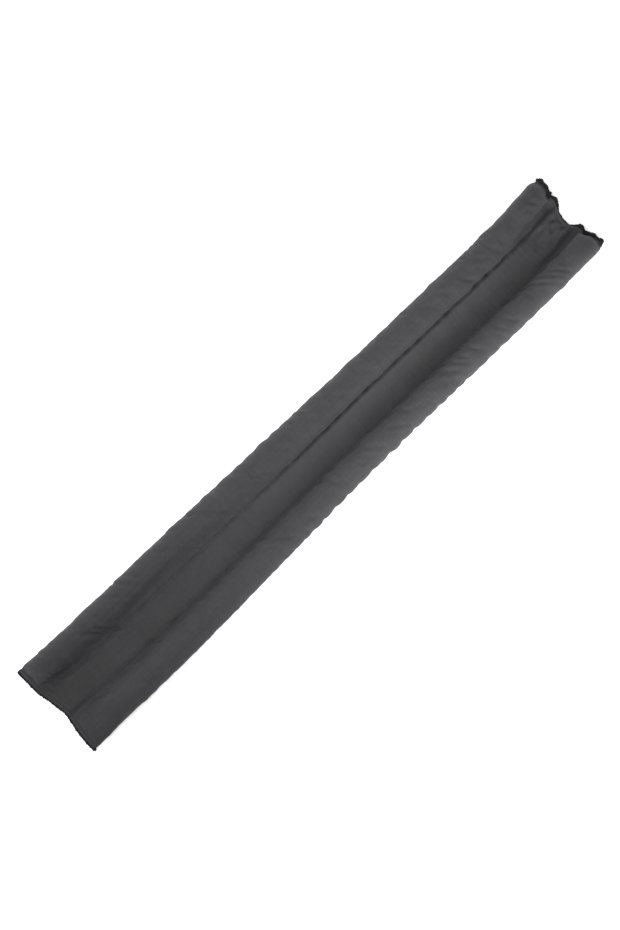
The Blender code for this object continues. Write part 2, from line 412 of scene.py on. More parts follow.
# %% [markdown]
# ## Stuffing it
# Blender's Cloth pumps the sleeve up with air instead of wadding. The web, the strips beside the
# seams, the two lips and whatever lies on the floor are held. The cloth's own rest size is a little
# larger than the form, and it is sheared, as the two layers were when they were sewn, so the tubes
# swell into slanting wrinkles.

# %% Simulation
HOLD_FLOOR = 0.0006
HOLD_BESIDE_SEAM = 0.78
SLACK = 1.06
SHEAR = 0.15
GIRTH_SLACK = 1.015
PRESSURE = 2.5
FRAMES = 24
MOST_MOVE = 0.006


def numbers(mesh, name, kind=np.float32):
    values = np.zeros(len(mesh.vertices), dtype=kind)
    mesh.attributes[name].data.foreach_get("value", values)
    return values


def points_of(mesh):
    values = np.zeros(len(mesh.vertices) * 3)
    mesh.vertices.foreach_get("co", values)
    return values.reshape(-1, 3)


def slack_shape(start, rows, sides):
    """The cloth's own size: longer and sheared, and a little wider round each tube."""
    rest = start.copy()
    rest[:, 0] = start[:, 0] * SLACK + SHEAR * start[:, 1]
    for side, fold, seam in ((1, "left", "seam_left"), (-1, "right", "seam_right")):
        middles = np.array([(LINES[fold](x) + LINES[seam](x)) / 2 * MM for x, _ in ROWS])
        on_tube = sides == side
        centre = middles[rows[on_tube]]
        rest[on_tube, 1] = centre + (start[on_tube, 1] - centre) * GIRTH_SLACK
        rest[on_tube, 2] = start[on_tube, 2] * GIRTH_SLACK
    return rest


def stuff(piece):
    mesh = piece.data
    start = points_of(mesh)
    rows = numbers(mesh, "row", np.int32)
    sides, shares = np.array(COLUMNS)[numbers(mesh, "column", np.int32)].T
    depths = np.array([depth for _, depth in ROWS])[rows]
    held = (sides == 0) | (shares > HOLD_BESIDE_SEAM) | (depths <= 0.0) | (start[:, 2] < HOLD_FLOOR)
    group = piece.vertex_groups.new(name="held")
    group.add([int(i) for i in np.flatnonzero(held)], 1.0, "REPLACE")
    piece.shape_key_add(name="Basis")
    slack = piece.shape_key_add(name="slack")
    slack.data.foreach_set("co", slack_shape(start, rows, sides).ravel())
    cloth = piece.modifiers.new("stuffing", "CLOTH")
    settings = cloth.settings
    settings.quality = 6
    settings.mass = 0.1
    settings.tension_stiffness = 15
    settings.compression_stiffness = 15
    settings.shear_stiffness = 8
    settings.bending_stiffness = 0.12
    settings.tension_damping = 8
    settings.compression_damping = 8
    settings.shear_damping = 8
    settings.bending_damping = 0.8
    settings.air_damping = 2
    settings.use_pressure = True
    settings.uniform_pressure_force = PRESSURE
    settings.effector_weights.gravity = 0
    settings.vertex_group_mass = "held"
    settings.rest_shape_key = slack
    cloth.point_cache.frame_start = 1
    cloth.point_cache.frame_end = FRAMES
    for number in range(1, FRAMES + 1):
        bpy.context.scene.frame_set(number)
    graph = bpy.context.evaluated_depsgraph_get()
    move = points_of(piece.evaluated_get(graph).data) - start
    far = np.linalg.norm(move, axis=1)
    capped = start + move * np.minimum(1.0, MOST_MOVE / np.maximum(far, 1e-9))[:, None]
    capped[:, 2] = np.maximum(capped[:, 2], 0.0)
    piece.modifiers.clear()
    piece.shape_key_clear()
    mesh.vertices.foreach_set("co", capped.ravel())
    mesh.update()
    bpy.context.scene.frame_set(1)
    print("stuffing moved the cloth by", round(far.mean() / MM, 2), "mm, at most", round(far.max() / MM, 2))


stuff(sleeve)

# %% [markdown]
# ## Folds and puckers
# The simulation swells the cloth but doesn't know where this sleeve creased. One subdivision gives
# points every two millimetres, and the folds are then pressed in along the normals: the main ones
# from a listed table, small ones at random, nicks along the outer folds and gathers at the seams.
# A fold stops short of the layer below it. The seam grooves and the dimples of the web, where the
# two layers lie close together, take both layers down instead.

# %% Main folds
Fold = namedtuple("Fold", "x y turn reach width depth")
FOLDS = (
    Fold(-418, 40, -40, 12, 4.0, 1.6),
    Fold(-421, 24, -44, 10, 3.0, 3.6),
    Fold(-411, 24, -40, 9, 2.8, 3.6),
    Fold(-400, 26, -20, 12, 4.5, 3.4),
    Fold(-412, -16, -2, 17, 3.6, 4.0),
    Fold(-398, 25, -8, 30, 6.0, 3.2),
    Fold(-398, 29, -30, 12, 4.0, 1.9),
    Fold(-372, -30, -30, 14, 4.0, 1.4),
    Fold(-349, 26, -28, 12, 3.4, 1.6),
    Fold(-338, 30, -42, 17, 3.0, 4.2),
    Fold(-327, 29, -38, 15, 2.8, 3.8),
    Fold(-292, 32, -44, 18, 5.0, 1.6),
    Fold(-262, 34, -48, 20, 6.0, 1.6),
    Fold(-236, 27, 3, 52, 5.5, 2.2),
    Fold(-215, -33, -42, 18, 5.0, 1.4),
    Fold(-163, 28, -40, 16, 4.4, 1.8),
    Fold(-140, 31, -44, 20, 4.4, 2.6),
    Fold(-124, 34, -46, 18, 4.0, 2.1),
    Fold(-90, 31, -46, 18, 5.0, 2.4),
    Fold(-72, 29, -50, 14, 4.0, 1.6),
    Fold(-30, 33, -48, 18, 5.0, 1.3),
    Fold(22, 30, -46, 16, 5.0, 1.3),
    Fold(42, -36, -44, 18, 5.0, 1.4),
    Fold(104, 32, -46, 18, 5.0, 1.3),
    Fold(160, -30, -44, 14, 3.6, 1.3),
    Fold(172, -35, -46, 20, 3.6, 1.9),
    Fold(188, -37, -46, 20, 3.6, 1.9),
    Fold(236, 35, -44, 18, 5.0, 1.3),
    Fold(300, -31, -40, 14, 4.0, 1.3),
    Fold(326, -36, -42, 22, 3.4, 1.9),
    Fold(340, -38, -42, 22, 3.4, 2.1),
    Fold(352, -40, -44, 18, 3.4, 1.4),
    Fold(372, 25, -20, 16, 4.0, 1.4),
    Fold(410, 22, 4, 15, 6.5, 6.5),
    Fold(382, 20, 0, 30, 6.0, 4.4),
    Fold(409, -22, -6, 16, 6.5, 5.6),
    Fold(376, -25, -7, 22, 6.0, 3.4),
    Fold(340, -27, -4, 24, 5.0, 2.2),
    Fold(299, -28, -14, 13, 4.0, 1.8),
    Fold(-373, 22, -16, 14, 4.5, 1.8),
    Fold(-319, 21, -20, 12, 4.0, 1.8),
    Fold(-381, -26, -24, 10, 3.6, 2.2),
    Fold(-327, -24, -30, 12, 4.2, 1.8),
    Fold(-295, -23, -30, 12, 4.2, 1.8),
    Fold(-259, -24, -30, 12, 4.2, 1.8),
)
DIMPLES = (
    Fold(384, 8, 10, 7.0, 4.5, 3.0),
    Fold(398, -1, 30, 6.0, 4.0, 4.2),
    Fold(407, 7, -10, 4.0, 4.5, 4.0),
    Fold(409, -8, -30, 4.5, 3.6, 3.8),
    Fold(390, -11, 10, 8.0, 4.0, 3.2),
    Fold(372, -2, 20, 8.0, 5.0, 2.0),
)
RIDGE = 1.5
print(len(FOLDS), "main folds and", len(DIMPLES), "dimples near the far end")


def fold_depths(x, y, folds):
    """Troughs with a low ridge on each side, in millimetres, positive inwards."""
    total = np.zeros(len(x))
    for fold in folds:
        angle = math.radians(fold.turn)
        along = ((x - fold.x) * math.cos(angle) + (y - fold.y) * math.sin(angle)) / fold.reach
        across = ((y - fold.y) * math.cos(angle) - (x - fold.x) * math.sin(angle)) / fold.width
        total += fold.depth * (1.0 - RIDGE * across**2) * np.exp(-(along**2) - across**2)
    return total


# %% Small random wrinkles, the same on every run
WRINKLES = 190
UPPER_SEED = 5
LOWER_SEED = 9
WRINKLE_SPAN = 0.94
WRINKLE_PLACE = (0.02, 0.90)
WRINKLE_TURN = (-58.0, -30.0)
WRINKLE_REACH = (7.0, 18.0)
WRINKLE_WIDTH = (2.8, 5.5)
WRINKLE_DEPTH = (0.3, 1.3)


def random_wrinkles(seed):
    dice = random.Random(seed)
    made = []
    for number in range(WRINKLES):
        x = LENGTH * (dice.random() - 0.5) * WRINKLE_SPAN
        side = 1 if number % 2 else -1
        fold, seam = ("left", "seam_left") if side > 0 else ("right", "seam_right")
        y = mix(LINES[fold](x), LINES[seam](x), dice.uniform(*WRINKLE_PLACE))
        spans = (WRINKLE_TURN, WRINKLE_REACH, WRINKLE_WIDTH, WRINKLE_DEPTH)
        made.append(Fold(x, y, *[dice.uniform(*span) for span in spans]))
    return made


# %% Nicks along the outer folds, and gathers where the cloth is sewn
NICK_PITCH = 20.0
NICK_CENTRE = 75.0
NICK_SPREAD = 190.0
LEAST_NICK = 0.12
NICK_SWELL = 0.25
NICK_DRIFT = 2.5
NICK_DRIFT_REACH = 41.0
NICK_JITTER = 0.6
NICK_JITTER_REACH = 13.0
NICK_GIRTH = 11.0
NICK_SLANT = 0.7
Nicks = namedtuple("Nicks", "girth phase depth")
OUTER_FOLDS = (Nicks(0.0, 0.0, 0.55), Nicks(FLAT_WIDTH, 2.1, 1.25))
GATHER_PITCH = 7.3
GATHER_DEPTH = 0.6
GATHER_GIRTH = 7.0
GATHER_WEB = 4.0
GATHER_BEAT = 0.35
GATHER_BEAT_REACH = 17.0
GATHER_DRIFT = 1.1
GATHER_DRIFT_REACH = 23.0
GATHER_AT_SEAM = 0.25
Gathers = namedtuple("Gathers", "girth inward phase")
SEWN_LINES = (
    Gathers(TUBE_GIRTH / 2, -1.0, 0.7),
    Gathers(TUBE_GIRTH / 2 + WEB_CLOTH, 1.0, 4.0),
)


def nick_depths(along, girth, top):
    """Sharp little dips across the outer folds, strongest past the middle of the sleeve."""
    total = np.zeros(len(along))
    signed = np.where(top > 0.5, 1.0, -1.0)
    for fold in OUTER_FOLDS:
        off = np.abs(girth - fold.girth)
        x = along + signed * NICK_SLANT * off
        drift = NICK_DRIFT * np.sin(x / NICK_DRIFT_REACH + fold.phase)
        drift += NICK_JITTER * np.sin(x / NICK_JITTER_REACH + 3.0 * fold.phase)
        wave = 0.5 + 0.5 * np.cos(2.0 * math.pi * x / NICK_PITCH + drift + fold.phase)
        reach = LEAST_NICK + np.exp(-(((along - NICK_CENTRE) / NICK_SPREAD) ** 2))
        total += fold.depth * reach * (wave**3 - NICK_SWELL) * np.exp(-((off / NICK_GIRTH) ** 2))
    return total


def gather_depths(along, girth):
    """Short puckers that run square to each seam and die out a little way from it."""
    total = np.zeros(len(along))
    for line in SEWN_LINES:
        off = (girth - line.girth) * line.inward
        reach = np.where(off > 0.0, GATHER_GIRTH, GATHER_WEB)
        beat = 1.0 - GATHER_BEAT + GATHER_BEAT * np.sin(along / GATHER_BEAT_REACH + line.phase)
        drift = GATHER_DRIFT * np.sin(along / GATHER_DRIFT_REACH + line.phase)
        wave = np.cos(2.0 * math.pi * along / GATHER_PITCH + drift + line.phase)
        away = np.abs(off) / reach
        total += GATHER_DEPTH * beat * wave * np.exp(-away) * (away + GATHER_AT_SEAM)
    return total


# %% Press the folds in
UPPER_SHARE = 0.75
LOWER_SHARE = 0.20
LEAST_LOFT = 0.8
SLACK_GROOVE = 1.4
TIGHT_GROOVE = 6.0
GROOVE_WIDTH = 3.6
GROOVE_BEAT = 0.22
GROOVE_PUCKER = 3.1
GROOVE_BEAT_REACH = 21.0
LIP_FADE = 8.0
Wave = namedtuple("Wave", "x y size")
WEB_WAVES = (Wave(61, 19, 0.35), Wave(37, 27, 0.25))
FILLING_WAVES = (Wave(71, 31, 0.40), Wave(47, 13, 0.35), Wave(29, -17, 0.30), Wave(19, -9, 0.18))
HEM = 4.8
HEM_PINCH = 0.6
HEM_GROOVE = 1.6


def refine(piece):
    """One subdivision, made real so that the folds have points to move."""
    smooth = piece.modifiers.new("smooth", "SUBSURF")
    smooth.levels = 1
    smooth.render_levels = 1
    graph = bpy.context.evaluated_depsgraph_get()
    fine = bpy.data.meshes.new_from_object(piece.evaluated_get(graph))
    piece.modifiers.clear()
    piece.data = fine
    fine.name = "sleeve_cloth"


def groove_depths(along, girth):
    """How far each seam is drawn down: deep where the tube is packed hard beside it."""
    total = np.zeros(len(along))
    beds = [bed for bed, _ in ROWS]
    for side, seam_girth in ((1, TUBE_GIRTH / 2), (-1, TUBE_GIRTH / 2 + WEB_CLOTH)):
        tight = np.interp(along, beds, [clamp01(PACKED[side](bed)) for bed in beds])
        pucker = np.sin(along / GROOVE_PUCKER + seam_girth) * np.sin(along / GROOVE_BEAT_REACH)
        beat = 1.0 + GROOVE_BEAT * pucker
        drawn = beat * (SLACK_GROOVE + (TIGHT_GROOVE - SLACK_GROOVE) * tight)
        total += drawn * np.exp(-(((girth - seam_girth) / GROOVE_WIDTH) ** 2))
    return total


def crease(piece):
    """Folds go inwards and leave some loft. Grooves and dimples take both layers down together."""
    mesh = piece.data
    points = points_of(mesh)
    normals = np.zeros(len(points) * 3, dtype=np.float32)
    mesh.vertex_normals.foreach_get("vector", normals)
    along, girth, top, loft = (numbers(mesh, name) for name in ("along", "girth", "top", "loft"))
    x, y = points[:, 0] / MM, points[:, 1] / MM
    upper = top > 0.5
    web = (girth > TUBE_GIRTH / 2) & (girth < TUBE_GIRTH / 2 + WEB_CLOTH)
    tube_share = np.where(web, 0.0, 1.0)
    depth = np.where(upper, fold_depths(x, y, FOLDS), 0.0)
    depth += tube_share * np.where(upper, fold_depths(x, y, random_wrinkles(UPPER_SEED)), 0.0)
    depth += tube_share * np.where(upper, 0.0, fold_depths(x, y, random_wrinkles(LOWER_SEED)))
    depth += gather_depths(along, girth)
    for waves, where in ((WEB_WAVES, web & upper), (FILLING_WAVES, ~web & upper)):
        for wave in waves:
            swell = wave.size * np.sin(x / wave.x * 2.0 * math.pi + y / wave.y)
            depth += np.where(where, swell, 0.0)
    most = loft * np.where(upper, UPPER_SHARE, LOWER_SHARE)
    depth = np.where(depth > 0.0, most * np.tanh(depth / most), depth)
    depth += nick_depths(along, girth, top)
    end_depth = np.minimum(along - ROWS[0][0], ROWS[-1][0] - along)
    lip_fade = np.clip(end_depth / LIP_FADE, 0.0, 1.0)
    depth *= lip_fade
    depth += HEM_PINCH * np.exp(-(((end_depth - HEM) / HEM_GROOVE) ** 2))
    points -= normals.reshape(-1, 3) * (depth * MM)[:, None]
    drawn = groove_depths(along, girth) + lip_fade * fold_depths(x, y, DIMPLES)
    points[:, 2] -= drawn * MM
    points[:, 2] = np.maximum(points[:, 2], top * LEAST_LOFT * MM)
    mesh.vertices.foreach_set("co", points.ravel())
    mesh.update()
    return depth


names = ("row", "column", "upper")
grid = list(zip(*(numbers(sleeve.data, name, np.int32).tolist() for name in names)))
refine(sleeve)
pressed = crease(sleeve)
sleeve.data.shade_smooth()
print("fine sleeve:", len(sleeve.data.polygons), "faces, folds up to", round(float(pressed.max()), 2), "mm")

# %% [markdown]
# ## Shader maths in Python
# Long chains of Math nodes are hard to read. This small class wraps one socket and lends it Python's
# operators, so a pattern is written as an expression and each operator adds its Math node.


# %% A socket that can be added and multiplied
class Value:
    def __init__(self, paint, socket):
        self.paint = paint
        self.socket = socket

    def math(self, operation, *others):
        values = dict(enumerate((self,) + others))
        return self.paint.node("ShaderNodeMath", {"operation": operation}, values)

    def __add__(self, other):
        return self.math("ADD", other)

    def __sub__(self, other):
        return self.math("SUBTRACT", other)

    def __rsub__(self, other):
        return self.math("MULTIPLY", -1.0).math("ADD", other)

    def __mul__(self, other):
        return self.math("MULTIPLY", other)

    def __truediv__(self, other):
        return self.math("DIVIDE", other)

    def __pow__(self, other):
        return self.math("POWER", other)

    __radd__ = __add__
    __rmul__ = __mul__


class Paint:
    """One material, with a method that adds any node and returns one of its outputs."""

    def __init__(self, name):
        self.material = bpy.data.materials.new(name)
        self.material.use_nodes = True
        self.tree = self.material.node_tree
        self.shader = self.tree.nodes["Principled BSDF"]

    def node(self, kind, settings=None, values=None, output=0):
        made = self.tree.nodes.new(kind)
        for name, setting in (settings or {}).items():
            if name == "stops":
                for element, (position, colour) in zip(made.color_ramp.elements, setting):
                    element.position = position
                    element.color = colour
            else:
                setattr(made, name, setting)
        for key, value in (values or {}).items():
            self.feed(made.inputs[key], value)
        return Value(self, made.outputs[output])

    def feed(self, socket, value):
        if isinstance(value, Value):
            self.tree.links.new(value.socket, socket)
        else:
            socket.default_value = value

    def finish(self, varying, constant):
        for name, value in {**varying, **constant}.items():
            self.feed(self.shader.inputs[name], value)
        return self.material


# %% [markdown]
# ## The cloth
# It is a plain weave of dull charcoal yarn. An image could be tiled over it, but a formula stays
# sharp at any distance: two sets of threads, half a millimetre apart, pass over and under each
# other in a checker. Every thread gets its own tone, and larger clouds make the cloth uneven. The
# tubes carry a bluish tone of painted light and the web a warmer tone of painted shade.

# %% Charcoal cloth
THREAD_PITCH = 0.00055
# The tubes' bluish tone is painted light and the web's warmer tone is painted shade: one cloth, coloured as
# it looks lit and in shade.
LIT_TUBE_TONE = (0.0350, 0.0346, 0.0372, 1.0)
SHADED_WEB_TONE = (0.0362, 0.0346, 0.0364, 1.0)
LINT_TONE = (0.11, 0.11, 0.112, 1.0)
THREAD_CONTRAST = 0.20
WARP_SEED = 11.0
WEFT_SEED = 57.0
CROSSING_SHARPNESS = 1.6
MEAN_HEIGHT = 0.64
GAP_SHADE = 0.30
CLOUDS = ((14.0, 0.10), (55.0, 0.10), (260.0, 0.10))
WEB_MARGIN = 2.0
WEB_BLEND = 8.0
FIBRE_SCALE = 1900.0
LINT_START = 0.70
LINT_RISE = 9.0
MOST_LINT = 0.45
WEAVE_HEIGHT = 0.00016
CRUMPLE_SCALE = 160.0
CRUMPLE_HEIGHT = 0.0004
CLOTH_ROUGHNESS = 0.97
CROWN_GLOSS = 0.10


def noise(paint, where, scale, detail=2.0):
    values = {"Vector": where, "Scale": scale, "Detail": detail}
    return paint.node("ShaderNodeTexNoise", None, values)


def thread_tone(paint, number, seed):
    """A random tone for one thread, from 0 to 1."""
    values = {"W": number.math("FLOOR") + seed}
    return paint.node("ShaderNodeTexWhiteNoise", {"noise_dimensions": "1D"}, values)


def charcoal_cloth():
    paint = Paint("charcoal_cloth")
    flat = paint.node("ShaderNodeUVMap", {"uv_map": "weave"})
    here = paint.node("ShaderNodeTexCoord", None, None, "Object")
    split = paint.node("ShaderNodeSeparateXYZ", None, {"Vector": flat})
    girth = Value(paint, split.socket.node.outputs["Y"])
    warp, weft = split / THREAD_PITCH, girth / THREAD_PITCH
    warp_wave, weft_wave = (warp * math.pi).math("SINE"), (weft * math.pi).math("SINE")
    crossing = warp_wave * weft_wave * CROSSING_SHARPNESS
    over = (crossing + 0.5).math("MINIMUM", 1.0).math("MAXIMUM", 0.0)
    warp_crown, weft_crown = warp_wave.math("ABSOLUTE"), weft_wave.math("ABSOLUTE")
    height = warp_crown * over + weft_crown * (1.0 - over)
    yarn = thread_tone(paint, warp, WARP_SEED) * over
    yarn = yarn + thread_tone(paint, weft, WEFT_SEED) * (1.0 - over)
    clouds = yarn * THREAD_CONTRAST + (1.0 - THREAD_CONTRAST / 2)
    for scale, share in CLOUDS:
        clouds = clouds * (noise(paint, here, scale) * (2.0 * share) + (1.0 - share))
    tone = clouds * (height * GAP_SHADE + (1.0 - GAP_SHADE * MEAN_HEIGHT))

    across = girth.math("ABSOLUTE") / MM
    from_middle = (across - FLAT_WIDTH / 2).math("ABSOLUTE")
    inside = (WEB_CLOTH / 2 + WEB_MARGIN - from_middle) / WEB_BLEND
    web = inside.math("MINIMUM", 1.0).math("MAXIMUM", 0.0)
    mixed = {"data_type": "RGBA", "blend_type": "MIX"}
    # Painted shade: the web is mixed towards the warmer shaded tone, and the tubes keep the bluish lit one.
    colour = paint.node("ShaderNodeMix", mixed, {0: web, 6: LIT_TUBE_TONE, 7: SHADED_WEB_TONE}, 2)
    toned = paint.node("ShaderNodeVectorMath", {"operation": "SCALE"}, {0: colour, "Scale": tone})
    fibres = noise(paint, here, FIBRE_SCALE, 3.0)
    lint = ((fibres - LINT_START) * LINT_RISE).math("MINIMUM", MOST_LINT).math("MAXIMUM", 0.0)
    linty = paint.node("ShaderNodeMix", mixed, {0: lint, 6: toned, 7: LINT_TONE}, 2)

    crumple = noise(paint, here, CRUMPLE_SCALE, 3.0)
    crumpled = {"Height": crumple, "Distance": CRUMPLE_HEIGHT, "Strength": 0.7}
    relief = paint.node("ShaderNodeBump", None, crumpled)
    threads = {"Height": height, "Distance": WEAVE_HEIGHT, "Strength": 0.8, "Normal": relief}
    normal = paint.node("ShaderNodeBump", None, threads)
    roughness = CLOTH_ROUGHNESS - height * CROWN_GLOSS
    varying = {"Base Color": linty, "Roughness": roughness, "Normal": normal}
    constant = {
        "Specular IOR Level": 0.25,
        "Sheen Weight": 0.09,
        "Sheen Roughness": 0.40,
        "Sheen Tint": (0.80, 0.82, 0.88, 1.0),
    }
    return paint.finish(varying, constant)


cloth_finish = charcoal_cloth()
sleeve.data.materials.clear()
sleeve.data.materials.append(cloth_finish)
print("cloth has", len(cloth_finish.node_tree.nodes), "nodes")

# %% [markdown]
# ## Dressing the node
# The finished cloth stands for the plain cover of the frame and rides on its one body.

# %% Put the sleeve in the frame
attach(sleeve, "root")
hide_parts("cover")

# %% [markdown]
# ## The threads
# The seams and hems are sewn in charcoal thread, close to the cloth in tone, and the raw ends are
# bound in black. Both are spun and nearly matt, and a fine noise stands for their plies and fluff.

# %% Two threads
BLACK_TONES = ((0.0040, 0.0040, 0.0045, 1.0), (0.0120, 0.0120, 0.0135, 1.0))
CHARCOAL_TONES = ((0.0220, 0.0217, 0.0228, 1.0), (0.0380, 0.0377, 0.0392, 1.0))
PLY_SCALE = 1500.0
PLY_HEIGHT = 0.00012
PLY_DARK = 0.45
PLY_CONTRAST = 2.2
THREAD_ROUGHNESS = 0.85
PLY_GLOSS = 0.25


def spun_thread(name, tones):
    paint = Paint(name)
    here = paint.node("ShaderNodeTexCoord", None, None, "Object")
    plies = noise(paint, here, PLY_SCALE, 3.0)
    light = ((plies - PLY_DARK) * PLY_CONTRAST).math("MINIMUM", 1.0).math("MAXIMUM", 0.0)
    mixed = {"data_type": "RGBA", "blend_type": "MIX"}
    colour = paint.node("ShaderNodeMix", mixed, {0: light, 6: tones[0], 7: tones[1]}, 2)
    spun = {"Height": plies, "Distance": PLY_HEIGHT, "Strength": 0.8}
    normal = paint.node("ShaderNodeBump", None, spun)
    roughness = THREAD_ROUGHNESS - plies * PLY_GLOSS
    varying = {"Base Color": colour, "Roughness": roughness, "Normal": normal}
    constant = {"Specular IOR Level": 0.20, "Sheen Weight": 0.02, "Sheen Roughness": 0.5}
    return paint.finish(varying, constant)


black_thread = spun_thread("black_thread", BLACK_TONES)
charcoal_thread = spun_thread("charcoal_thread", CHARCOAL_TONES)
print("each thread has", len(black_thread.node_tree.nodes), "nodes")

# %% [markdown]
# ## Stitches
# A row of lockstitch is many short raised capsules with a dip between them. The row runs along
# points of the finished cloth itself, so it lies in the groove wherever the folds have moved it. One
# stitch is a stretched sphere of a few faces, and all the rows are one mesh.

# %% Paths along the finished cloth
STITCH_PITCH = 3.2
STITCH_LENGTH = 2.5
STITCH_WIDTH = 0.62
STITCH_SINK = 0.12
SMOOTH_STEPS = 6
SEAM_COLUMNS = (COLUMNS.index((0, 0.0)), COLUMNS.index((0, 1.0)))
cloth_at = {key: Vector(point) for key, point in zip(grid, points_of(sleeve.data))}


def hem_row(edge_row):
    """The row that lies nearest to the hem's place behind a raw end."""
    insets = [abs(abs(x - ROWS[edge_row][0]) - HEM) for x, _ in ROWS]
    return insets.index(min(insets))


def along_curve(points, pitch):
    """Even steps on a smooth curve through the points, as (place, direction)."""
    curve = []
    last = len(points) - 1
    for k in range(last):
        before, start, end, after = (points[min(max(k + j, 0), last)] for j in (-1, 0, 1, 2))
        for step in range(SMOOTH_STEPS):
            t = step / SMOOTH_STEPS
            bend = (2 * before - 5 * start + 4 * end - after) * t**2
            twist = (3 * start - before - 3 * end + after) * t**3
            curve.append((2 * start + (end - before) * t + bend + twist) / 2)
    curve.append(points[-1])
    steps, passed, at = [], 0.0, pitch / 2
    for start, end in zip(curve, curve[1:]):
        length = (end - start).length
        while length > 0.0 and at <= passed + length:
            steps.append((start.lerp(end, (at - passed) / length), (end - start).normalized()))
            at += pitch
        passed += length
    return steps


seam_path = [cloth_at[row, SEAM_COLUMNS[0], 1] for row in range(1, len(ROWS) - 1)]
HEM_ROWS = (hem_row(0), hem_row(-1))
print("stitches on one seam:", len(along_curve(seam_path, STITCH_PITCH * MM)), "hem rows:", HEM_ROWS)

# %% Sew the rows
STITCH_SIDES = 6
STITCH_RINGS = 4
UNEVEN = 0.08


def frame_of(place, direction, upwards):
    """A matrix at a place: X across, Y up and Z along the thread."""
    across = upwards.cross(direction).normalized()
    up = direction.cross(across)
    return Matrix.Translation(place) @ Matrix((across, up, direction)).transposed().to_4x4()


def shape_of(bm, name):
    """A bmesh kept as a mesh, to be copied many times."""
    mesh = bpy.data.meshes.new(name)
    bm.to_mesh(mesh)
    bm.free()
    return mesh


def add_copy(bm, shape, matrix):
    copied = shape.copy()
    copied.transform(matrix)
    bm.from_mesh(copied)
    bpy.data.meshes.remove(copied)


def stitch_shape():
    bm = bmesh.new()
    bmesh.ops.create_uvsphere(bm, u_segments=STITCH_SIDES, v_segments=STITCH_RINGS, radius=1.0)
    return shape_of(bm, "stitch")


def add_stitches(bm, shape, points, upwards, dice):
    for place, direction in along_curve(points, STITCH_PITCH * MM):
        length = STITCH_LENGTH * dice.uniform(1.0 - UNEVEN, 1.0 + UNEVEN)
        lift = upwards * (STITCH_WIDTH / 2 - STITCH_SINK) * MM
        size = Matrix.Diagonal((STITCH_WIDTH / 2, STITCH_WIDTH / 2, length / 2, 1.0 / MM)) * MM
        centre = place + lift
        centre.z = max(centre.z, STITCH_WIDTH / 2 * MM)
        add_copy(bm, shape, frame_of(centre, direction, upwards) @ size)


def add_piece(name, bm, finish):
    """Turn a bmesh into a smooth piece that rides on the root body."""
    bmesh.ops.recalc_face_normals(bm, faces=bm.faces)
    mesh = bpy.data.meshes.new(name)
    bm.to_mesh(mesh)
    bm.free()
    mesh.materials.append(finish)
    mesh.shade_smooth()
    piece = bpy.data.objects.new(name, mesh)
    bpy.context.scene.collection.objects.link(piece)
    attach(piece, "root")
    print(name, "has", len(mesh.polygons), "faces")
    return piece


def sew_rows(name, paths):
    dice = random.Random(name)
    shape = stitch_shape()
    bm = bmesh.new()
    for points, upper in paths:
        add_stitches(bm, shape, points, Vector((0, 0, 1 if upper else -1)), dice)
    piece = add_piece(name, bm, charcoal_thread)


seams, hems = [], []
for upper in (1, 0):
    for column in SEAM_COLUMNS:
        seams.append(([cloth_at[row, column, upper] for row in range(1, len(ROWS) - 1)], upper))
    for row in HEM_ROWS:
        hems.append(([cloth_at[row, column, upper] for column in range(1, len(COLUMNS) - 1)], upper))
sew_rows("seam_stitches", seams)
sew_rows("hem_stitches", hems)

# %% [markdown]
# ## The overlocked ends
# Each raw end is bound by loops of thread that wrap round the edge, one beside the next, over a
# bundle of chained thread. The bundle is a row of ovals bridged into a tube. A loop is a ring, made
# by spinning a small circle all the way round, then squashed to the shape of the edge and slanted.
# A few more loops, turned about one corner, make the knot where the thread is tied off.

# %% One loop of thread, and the bundle under the loops
LOOP_SIDES = 5
LOOP_STEPS = 12
BUNDLE_SIDES = 8


def loop_shape(reach, rise, thread):
    """A ring of thread that wraps an edge: reach outwards along Z and rise along Y."""
    bm = bmesh.new()
    verts = bmesh.ops.create_circle(bm, cap_ends=False, radius=thread, segments=LOOP_SIDES)["verts"]
    edges = list(bm.edges)
    bmesh.ops.rotate(bm, verts=verts, matrix=Matrix.Rotation(math.pi / 2, 3, "X"))
    bmesh.ops.translate(bm, verts=verts, vec=(rise, 0.0, 0.0))
    turn = dict(cent=(0, 0, 0), axis=(0, 0, 1), angle=2 * math.pi, steps=LOOP_STEPS, use_merge=True)
    bmesh.ops.spin(bm, geom=verts + edges, **turn)
    for vert in bm.verts:
        x, y, z = vert.co
        stretch = (reach - rise) * y / math.hypot(x, y)
        vert.co = (z, x, y + stretch)
    return shape_of(bm, "loop")


def add_bundle(bm, ovals):
    """A closed tube through ovals, each a (matrix, reach, rise)."""
    rims = []
    for number, (matrix, reach, rise) in enumerate(ovals):
        ends = number in (0, len(ovals) - 1)
        oval = bmesh.ops.create_circle(bm, cap_ends=ends, radius=1.0, segments=BUNDLE_SIDES)["verts"]
        rims.append(list({edge for vert in oval for edge in vert.link_edges}))
        for vert in oval:
            vert.co = matrix @ Vector((0.0, vert.co.x * rise, vert.co.y * reach))
    for start, end in zip(rims, rims[1:]):
        bmesh.ops.bridge_loops(bm, edges=start + end)


